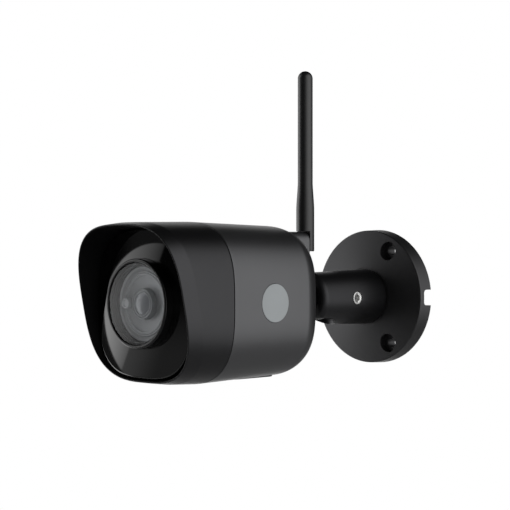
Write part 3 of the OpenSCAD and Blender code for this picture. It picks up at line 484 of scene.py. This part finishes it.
dress(hood, "hood_paint", "housing_body", stands_for=("front_hood",))
hood.data.materials.append(M["hood_inside_painted_shade"])
n_ring = len(rings[0])
first_inside = (outer_count - 9) * n_ring  # the last 9 of the 17 rings round the lip face inwards
# the inward half of the lip and the inner walls get the darker copy of the hood paint: painted shade
for poly in hood.data.polygons:
    if min(poly.vertices) >= first_inside:
        poly.material_index = 1

# boss that carries the antenna, round on top about the pivot
PIVOT, ANT, BOSS_R = 28.7, 57.6, 4.6


def boss_section(inset, reach):
    """Half circle of radius BOSS_R about the pivot, on straight sides and a flat foot."""
    r = BOSS_R - inset
    top = [(r * math.cos(b), PIVOT + r * math.sin(b)) for b in np.linspace(0, math.pi, 49)]
    low = [(-r, z) for z in np.linspace(PIVOT, PIVOT - 6.7 + inset, 8)[1:]]
    foot = [(x, PIVOT - 6.7 + inset) for x in np.linspace(-r, r, 9)[1:]]
    rise = [(r, z) for z in np.linspace(PIVOT - 6.7 + inset, PIVOT, 8)[1:-1]]
    return np.array([(x, -reach, z) for x, z in top + low + foot + rise])


rings = [boss_section(0.5 * (1 - math.sin(b)), 59.0 + 0.5 * (1 - math.cos(b)))
         for b in np.linspace(0, math.pi / 2, 6)]
rings += [boss_section(0, r) for r in np.linspace(60, 91, 12)]
boss = loft("antenna_boss", rings, caps=(True, True))
soft_edges(boss, 50)
dress(boss, "housing_paint", "housing_body", stands_for=("rear_housing",))

# badge: a plain disc let into the side
BADGE = 118.1
BADGE_X = mix(REAR_W, SEAM_W, (BADGE - START) / (SEAM - START))
prof = fillet([(0.02, BADGE_X - 1.2), (8.8, BADGE_X - 1.2), (8.8, BADGE_X + 0.25), (0.02, BADGE_X + 0.25)],
              (0, 0, 0.3, 0))
badge = turned("plain_badge", prof, closed=False, at=(-BADGE, 0), axis="x")
soft_edges(badge, 50)
dress(badge, "badge_plain", "housing_body", stands_for=("side_badge",))


def side_x(reach, z, lift=0.0):
    """x of the housing's side surface at a height."""
    t = (reach - START) / (SEAM - START)
    w, h = mix(REAR_W, SEAM_W, t), mix(REAR_H, SEAM_H, t)
    return w * (1 - (abs(z) / h) ** SQ) ** (1 / SQ) + lift


def hugging(name, inner, outer, place):
    """Thin dark band laid on the housing round a piece that is let in: painted shade standing for the
    shadow in its gap.
    """
    rings = [[place(x, y, lift) for x, y in path] for path, lift in
             ((inner, -0.15), (inner, 0.015), (outer, 0.015), (outer, -0.15))]
    ob = loft(name, rings, closed=True)
    dress(ob, "painted_gap_shade", "housing_body", stands_for=("rear_housing",))
    return ob


def circle(r, count=144):
    """Points (r cos b, r sin b) with b once round."""
    b = 2 * np.pi * np.arange(count) / count
    return [(r * math.cos(v), r * math.sin(v)) for v in b]


# dark ring round the badge: painted shade in its gap
hugging("badge_gap", circle(8.78), circle(8.96),
        lambda y, z, lift: (side_x(BADGE + y, z, lift), -(BADGE + y), z))

# underside cover over the card slot, and its two screws
COVER, COVER_FACE = 107.0, -36.0


def rounded_box(w, l, corner, steps=10):
    """Rectangle of half sizes w and l with a quarter circle at each corner."""
    out = []
    for sx, sy, start in ((1, 1, 0), (-1, 1, 90), (-1, -1, 180), (1, -1, 270)):
        for b in np.radians(np.linspace(start, start + 90, steps)):
            out.append((sx * (w - corner) + corner * math.cos(b), sy * (l - corner) + corner * math.sin(b)))
    return out


def cover_ring(grow, z):
    """The cover's outline at height z, grown all round."""
    return [(x, y - COVER, z) for x, y in rounded_box(13 + grow, 14 + grow, 4 + grow)]


rings = [cover_ring(f, COVER_FACE) for f in (-3.9, -2.5, -1.2)]
rings += [cover_ring(-0.5 * (1 - math.sin(b)), COVER_FACE + 0.5 * (1 - math.cos(b)))
          for b in np.linspace(0, math.pi / 2, 5)]
rings += [cover_ring(0, COVER_FACE + 1.7)]
cover = loft("slot_cover", rings, caps=(True, True))
SCREWS = (COVER - 10.8, COVER + 10.8)
carve(cover, [rod("cut", 2.15, (0, -q, COVER_FACE - 2), (0, -q, COVER_FACE + 1.2), 64)
              for q in SCREWS], 0.12, 2)
dress(cover, "hood_paint", "housing_body", stands_for=("underside_cover",))


def hexagon(name, flats, centre, axis, low, high):
    """Hexagonal prism for a socket."""
    b = np.radians(np.arange(6) * 60 + 30)
    u, v = flats / math.sqrt(3) * np.cos(b), flats / math.sqrt(3) * np.sin(b)
    rings = []
    for q in (low, high):
        w = np.full(6, float(q))
        rings.append(np.stack({"x": (w, centre[0] + u, centre[1] + v),
                               "z": (centre[0] + u, centre[1] + v, w)}[axis], 1))
    return loft(name, rings, caps=(True, True))


for q in SCREWS:
    prof = fillet([(0.02, COVER_FACE + 0.2), (2.0, COVER_FACE + 0.2), (2.0, COVER_FACE + 1.15),
                   (1.0, COVER_FACE + 1.15), (1.0, COVER_FACE + 5), (0.02, COVER_FACE + 5)],
                  (0, 0.35, 0, 0, 0, 0))
    screw = turned("cover_screw", prof, 64, closed=False, at=(0, -q), axis="z")
    carve(screw, [hexagon("cut", 1.4, (0, -q), "z", COVER_FACE - 1, COVER_FACE + 0.8)], 0.05, 2)
    dress(screw, "steel", "housing_body", stands_for=("cover_screws",))

# loudspeaker grille in the underside
SPEAKER = COVER + 14 + 2 + 8 + 1
grille = [rod("cut", 0.9, (i * 3.5, -(SPEAKER + j * 3.5), -40), (i * 3.5, -(SPEAKER + j * 3.5), -34.6), 24)
          for i in (-1, 0, 1) for j in (-1, 0, 1)]
grille.append(loft("cut", [cover_ring(0.22, z) for z in (-50.0, COVER_FACE + 1.72)], caps=(True, True)))
carve(housing, grille)
# dark plate just above the slot cover, seen through the gap round it: painted shade in that gap
pocket_floor = loft("pocket_floor", [cover_ring(0.6, z) for z in (COVER_FACE + 1.74, COVER_FACE + 2.4)],
                    caps=(True, True))
dress(pocket_floor, "painted_gap_shade", "housing_body", stands_for=("rear_housing",))

# front panel, a gloss plate with a round hole
RING_R, RING_TOP, PANEL_HOLE = 20.2, 169.9, 20.35


def plate(play, reach):
    """The recess's section, smaller all round by the play."""
    return section(RECESS_W - play, RECESS_H - play, SQ, reach)


rim = plate(0.95, PANEL)
angle = np.arctan2(rim[:, 2], rim[:, 0])
hole = np.stack([PANEL_HOLE * np.cos(angle), np.full(len(rim), -PANEL),
                 PANEL_HOLE * np.sin(angle)], 1)
rings = [hole + (0, 4.5, 0), hole] + [mix(hole, rim, t) for t in (0.34, 0.67, 0.97, 0.995)]
rings += [plate(0.15 + 0.8 * (1 - math.sin(b)), PANEL - 0.8 * (1 - math.cos(b)))
          for b in np.linspace(0, math.pi / 2, 7)]
rings += [plate(0.15, LEDGE + 0.05)]
panel = loft("gloss_panel", rings)
soft_edges(panel, 60)
dress(panel, "panel_gloss", "housing_body", stands_for=("front_panel",))

# window ring, glass and what lies behind it
prof = fillet([(RING_R, 160.8), (RING_R, RING_TOP), (18.6, RING_TOP), (18.6, 167.9),
               (17.15, 167.9), (17.15, 160.8)], (0, 1.1, 0.3, 0.05, 0.2, 0))
ring = turned("window_bezel", prof)
soft_edges(ring, 50)
dress(ring, "ring_plastic", "housing_body", stands_for=("window_ring",))

prof = fillet([(0.01, 167.9), (18.25, 167.9), (18.25, 169.5), (0.01, 169.5)], (0, 0.2, 0.2, 0))
glass = turned("window_pane", prof)
soft_edges(glass, 50)
dress(glass, "window_clear", "housing_body", stands_for=("window_glass",))

# infrared ring, lens bezel, light sensor and lens
prof = fillet([(17.0, 163.5), (17.0, 164.8), (16.4, 164.8), (16.1, 164.35), (14.8, 164.3), (14.6, 164.8),
               (13.9, 164.8), (13.9, 163.5)], (0, 0.2, 0.2, 0.3, 0.2, 0.2, 0.2, 0))
ir_ring = turned("ir_ring", prof)
soft_edges(ir_ring, 50)
dress(ir_ring, "grey_plastic", "housing_body", stands_for=("ir_lens_ring",))
prof = fillet([(13.8, 162.4), (13.8, 164.8), (12.6, 164.8), (12.6, 163.8), (9.5, 163.5), (7.1, 163.3),
               (7.1, 162.4)], (0, 0.25, 0.25, 0.3, 0.4, 0.15, 0))
bezel = turned("bezel", prof)
soft_edges(bezel, 40)
dress(bezel, "grey_plastic", "housing_body", stands_for=("lens_bezel",))
prof = fillet([(0.02, 162.5), (2.38, 162.5), (2.38, 167.3), (1.7, 167.3), (1.3, 166.8), (0.02, 166.8)],
              (0, 0, 0.2, 0.2, 0.2, 0))
sensor = turned("light_pipe", prof, 96, closed=False, at=(-10.0, 0))
soft_edges(sensor, 50)
dress(sensor, "pipe_milk", "housing_body", stands_for=("light_sensor",))
prof = fillet([(6.9, 153.0), (6.9, 166.2), (6.35, 166.2), (6.2, 165.8), (5.75, 165.8), (5.6, 166.1),
               (5.0, 166.1), (5.0, 163.8), (3.8, 163.8), (3.8, 153.0)],
              (0, 0.25, 0.1, 0.1, 0.1, 0.1, 0.15, 0, 0.2, 0))
barrel = turned("barrel", prof)
soft_edges(barrel, 40)
dress(barrel, "barrel_grey", "housing_body", stands_for=("lens_barrel",))
CAP = 13.0
crown = [(CAP * math.sin(b), 166.8 - CAP * (1 - math.cos(b))) for b in np.linspace(0.002, 0.3925, 24)]
front_lens = turned("front_element", crown + [(4.97, 163.85), (0.02, 163.85)], closed=False)
soft_edges(front_lens, 40)
dress(front_lens, "lens_clear", "housing_body", stands_for=("front_lens",))

# ---------------------------------------------------------------- wall bracket

BALL, SOCKET_R, GLOBE_R, LOCK = 48.3, 11.1, 10.8, 32.7  # reach, radii and reach

# base cup
prof = fillet([(13.05, 10.5), (15.5, 10.5), (34.6, 8.3), (35.0, 0), (32.4, 0), (32.0, 5.7), (16.0, 7.85),
               (16.0, 5.5), (13.05, 5.5)], (0.25, 0.3, 0.6, 0.2, 0.2, 1.5, 1, 0.3, 0.3))
cup = turned("wall_cup", prof, 256)
spots = [(27.5 * math.cos(math.radians(b)), 27.5 * math.sin(math.radians(b))) for b in (60, 180, 300)]
for x, z in spots:
    pillar = rod("pillar", 6.6, (x, -0.01, z), (x, -7.0, z), 64)
    modifier(cup, "BOOLEAN", operation="UNION", object=pillar, solver="EXACT")
dg = bpy.context.evaluated_depsgraph_get()
mesh = bpy.data.meshes.new_from_object(cup.evaluated_get(dg))
for m in list(cup.modifiers):
    other = m.object
    cup.modifiers.remove(m)
    bpy.data.objects.remove(other)
cup.data = mesh
cuts = []
for x, z in spots:
    cuts.append(rod("cut", 2.5, (x, 1, z), (x, -12, z), 64))
    cuts.append(rod("cut", 4.8, (x, -5.9, z), (x, -12, z), 96))
path = [(3, -4), (-NOTCH + 2, -4)] + [(-NOTCH + 2 - 2 * math.sin(b), -2 - 2 * math.cos(b))
                                      for b in np.linspace(0, math.pi / 2, 9)[1:]]
path += [(y, -z) for y, z in reversed(path)]
cuts.append(loft("cut", [[(31.4, y, z) for y, z in path], [(37, y, z) for y, z in path]],
                 caps=(True, True)))
carve(cup, cuts, 0.3, 3)
dress(cup, "bracket_paint", "wall_base", stands_for=("base_cup",))

# arm with the socket of the ball and the slot under its free end
ball = [(SOCKET_R * math.cos(b), BALL + SOCKET_R * math.sin(b))
        for b in np.linspace(0, math.asin(7.02 / SOCKET_R), 24)]
end = [(13.0 - 3.4 + 3.4 * math.cos(b), 57.3 - 3.4 + 3.4 * math.sin(b))
       for b in np.linspace(0, math.pi / 2, 20)]
shaft = [(mix(14.2, 13.0, t), mix(11.2, 53.9, t)) for t in np.linspace(0, 1, 26)[:-1]]
prof = [(SOCKET_R, 2.4), (13.0, 2.4), (13.0, 3.48), (12.2, 3.48), (12.2, 4.72), (13.0, 4.72), (13.0, 10.8),
        (13.9, 10.8), (14.1, 10.9)] + shaft + end + [(8.9, 57.3), (8.6, 57.0)]
prof += [(r, q) for r, q in reversed(ball)]
prof += [(SOCKET_R, q) for q in np.linspace(BALL, 2.4, 20)[1:-1]]
arm = turned("swing_arm", prof, 240)
cuts = [rod("cut", 8.6, (0, -BALL, -16), (0, -BALL, 0), 120),
        block("cut", (-8.6, -58.5, -16), (8.6, -BALL, 0)),
        rod("cut", 3.35, (5, -LOCK, 0), (16, -LOCK, 0), 96)]
carve(arm, cuts, 0.3, 3)
# the arm takes the darker copy of the bracket paint: painted shade
dress(arm, "arm_shaded_paint", "arm_body", stands_for=("arm",))

# ball, neck, flare and collar
half = math.asin(7.5 / GLOBE_R)
globe = [(GLOBE_R * math.sin(b), BALL - GLOBE_R * math.cos(b))
         for b in np.linspace(0.45, math.pi - half, 60)]
prof = globe + fillet([(7.5, 57), (7.5, 64.0), (11.0, 74.4), (11.0, 76.9), (7.5, 76.9), (7.5, 87.3),
                       (4.5, 87.3), (4.5, 40)], (0, 4, 0.5, 0.3, 0, 0.3, 0, 0))
stem = turned("ball_and_stem", prof)
soft_edges(stem, 40)
dress(stem, RECORD_SLOT["ball_stem"], "ball_body", stands_for=("ball_stem",))

# lock screw with its hex socket
prof = fillet([(0.02, 8.45), (0.85, 8.45), (3.3, 10.9), (3.3, 13.4), (0.02, 13.4)], (0, 0, 0, 0.35, 0))
lock = turned("set_screw", prof, 120, closed=False, at=(-LOCK, 0), axis="x")
carve(lock, [hexagon("cut", 3.0, (-LOCK, 0), "x", 11.6, 15)], 0.1, 2)
dress(lock, "steel", "lock_screw_body", stands_for=("lock_screw",))

# ---------------------------------------------------------------- antenna

top = [(3.73 * math.cos(b), PIVOT + 85 - 3.73 + 3.73 * math.sin(b)) for b in np.linspace(0, 1.565, 24)]
prof = [(0.02, PIVOT - 5.1), (2.0, PIVOT - 5.1), (4.2, PIVOT - 5.1), (4.4, PIVOT - 5.0), (4.5, PIVOT - 4.8)]
prof += [(4.5, z) for z in np.linspace(PIVOT - 4, PIVOT + 15, 12)]
for t in np.linspace(0, 1, 22):
    ease = 3 * t * t - 2 * t ** 3
    z = mix(PIVOT + 15.6, PIVOT + 29.7, t)
    line = min(max((z - PIVOT - 16.6) / 12.1, 0), 1)
    prof.append((mix(4.5, 3.73, 0.5 * ease + 0.5 * line), z))
prof += [(3.73, z) for z in np.linspace(PIVOT + 31, PIVOT + 80, 20)]
antenna = turned("stick_antenna", prof + top, closed=False, at=(0, -ANT), axis="z")
cuts = [block("cut", (-9, -ANT - 10, PIVOT - 7), (9, -58.7, PIVOT + 4.9)),
        rod("cut", 2.45, (0, -ANT + 10, PIVOT), (0, -ANT + 2.9, PIVOT), 96),
        rod("cut", 1.55, (0, -ANT + 5, PIVOT), (0, -ANT - 5, PIVOT), 64)]
carve(antenna, cuts, 0.25, 3)
dress(antenna, "antenna_plastic", "antenna_body", stands_for=("antenna",))
prof = fillet([(0.02, 53.5), (2.4, 53.5), (2.4, 54.6), (1.5, 54.6), (1.5, 75), (0.02, 75)],
              (0, 0.3, 0, 0, 0, 0))
pin = turned("pivot_screw", prof, 96, closed=False, at=(0, PIVOT))
carve(pin, [block("cut", (-0.3, -54.0, PIVOT - 3), (0.3, -52, PIVOT + 3))], 0.08, 2)
dress(pin, RECORD_SLOT["antenna_pin"], "antenna_body", stands_for=("antenna_pin",))

# ---------------------------------------------------------------- light, backdrop and floor

# Azimuth in degrees is 0 towards the camera and positive to its right; elevation is up.
# The studio: a wide soft box on the right, a card on the left, a white wall behind the
# part, a pale floor and a dark ceiling. Camera rays see plain white.
VIEW = (math.sin(math.radians(VIEW_ANGLE)), -math.cos(math.radians(VIEW_ANGLE)), 0.0)
RIGHT = (math.cos(math.radians(VIEW_ANGLE)), math.sin(math.radians(VIEW_ANGLE)), 0.0)
world = bpy.data.worlds.new("world")
scene.world = world
world.use_nodes = True
wt = world.node_tree
wt.nodes.clear()


def wadd(kind, **values):
    """Adds a node to the world."""
    n = wt.nodes.new(kind)
    for key, value in values.items():
        setattr(n, key, value)
    return n


def calc(operation, a, b=None, clamp=False):
    """One Math node; a and b are numbers or sockets."""
    n = wadd("ShaderNodeMath", operation=operation, use_clamp=clamp)
    for k, v in enumerate((a, b)):
        if v is None:
            continue
        if isinstance(v, (int, float)):
            n.inputs[k].default_value = v
        else:
            wt.links.new(v, n.inputs[k])
    return n.outputs[0]


direction = wadd("ShaderNodeTexCoord").outputs["Generated"]


def along(axis):
    """Dot product of the ray's direction and an axis."""
    n = wadd("ShaderNodeVectorMath", operation="DOT_PRODUCT")
    wt.links.new(direction, n.inputs[0])
    n.inputs[1].default_value = axis
    return n.outputs["Value"]


azimuth = calc("MULTIPLY", calc("ARCTAN2", along(RIGHT), along(VIEW)), 180 / math.pi)
elevation = calc("MULTIPLY", calc("ARCSINE", along((0, 0, 1))), 180 / math.pi)


def step(value, start, end, low=0.0, high=1.0):
    """Smooth step from low at start to high at end."""
    n = wadd("ShaderNodeMapRange", interpolation_type="SMOOTHSTEP")
    wt.links.new(value, n.inputs["Value"])
    for key, v in (("From Min", start), ("From Max", end), ("To Min", low), ("To Max", high)):
        n.inputs[key].default_value = v
    return n.outputs["Result"]


def window(value, a, b, c, d):
    """Rises from a to b and falls from c to d."""
    return calc("MULTIPLY", step(value, a, b), step(value, c, d, 1.0, 0.0))


def times(*values):
    """Product of all values."""
    out = values[0]
    for v in values[1:]:
        out = calc("MULTIPLY", out, v)
    return out


def plus(*values):
    """Sum of all values."""
    out = values[0]
    for v in values[1:]:
        out = calc("ADD", out, v)
    return out


slanted = calc("SUBTRACT", azimuth, calc("MULTIPLY", elevation, 0.345))
side_box = times(window(azimuth, -15, 52, 74, 126), window(elevation, -42, -2, 34, 62), 1.9)
near_edge = step(slanted, -98, -94)
fade = calc("ADD", 1.0, times(near_edge, calc("SUBTRACT", step(elevation, -4.5, 0.5, 1.0, 0.42), 1.0)))
ramp = calc("SUBTRACT", -91.8, slanted)
near = calc("MINIMUM", ramp, calc("ADD", 1.0, times(step(slanted, -95.5, -93.8), 0.6)))
near = calc("MAXIMUM", near, 0.0)
card = times(window(slanted, -165, -120, -92.1, -92.02), near, fade,
             window(elevation, -50, -25, 16, 55), 2.4)
# black border round the card: its mirror image gives the panel's two crescents their outline
across = calc("DIVIDE", calc("ADD", azimuth, 92.28), 2.06)
rise = calc("ADD", elevation, 2.265)
upright = calc("MAXIMUM", calc("DIVIDE", rise, 2.73), calc("DIVIDE", rise, -3.17))
beyond = step(plus(times(across, across), times(upright, upright)), 0.985, 1.03)
border = times(beyond, window(azimuth, -96.0, -95.2, -91.5, -91.0), window(elevation, -9, -8, 2.6, 3.4))
card = calc("MULTIPLY", card, calc("SUBTRACT", 1.0, border))
rear = times(calc("ADD", step(azimuth, 158, 176), step(azimuth, -176, -158, 1.0, 0.0)),
             window(elevation, -60, -30, 12, 34), 1.0)
ground = times(step(elevation, -4.2, -1.4, 1.0, 0.0), calc("SUBTRACT", 1.0, border),
               calc("ADD", 0.16, times(window(slanted, -150, -92.2, -92.2, -90.5), 0.38)))
shade = times(border, calc("MAXIMUM", step(azimuth, -93.9, -93.0),
                           step(elevation, -1.2, -0.6, 1.0, 0.0)), 0.07)
glow = plus(side_box, card, rear, ground, shade, 0.012)
w_out = wadd("ShaderNodeOutputWorld")
w_mix = wadd("ShaderNodeMixShader")
w_path = wadd("ShaderNodeLightPath")
w_seen = wadd("ShaderNodeBackground")
w_light = wadd("ShaderNodeBackground")
w_seen.inputs["Color"].default_value = (1, 1, 1, 1)
wt.links.new(glow, w_light.inputs["Strength"])
wt.links.new(w_path.outputs["Is Camera Ray"], w_mix.inputs["Fac"])
wt.links.new(w_light.outputs[0], w_mix.inputs[1])
wt.links.new(w_seen.outputs[0], w_mix.inputs[2])
wt.links.new(w_mix.outputs[0], w_out.inputs[0])

floor = make("floor", [(-600, -750, -350), (600, -750, -350), (600, 550, -350), (-600, 550, -350)],
             [(0, 1, 2, 3)], smooth=False)
pale = surface("floor_pale", (0.82, 0.82, 0.82), 0.6, grain=60, vary=0.01)
shader = next(n for n in pale.node_tree.nodes if n.type == "BSDF_PRINCIPLED")
shader.inputs["Emission Color"].default_value = (0.5, 0.5, 0.5, 1)
seen = pale.node_tree.nodes.new("ShaderNodeLightPath")
pale.node_tree.links.new(seen.outputs["Is Camera Ray"], shader.inputs["Emission Strength"])
floor.data.materials.append(pale)

scene.view_settings.view_transform = "Standard"
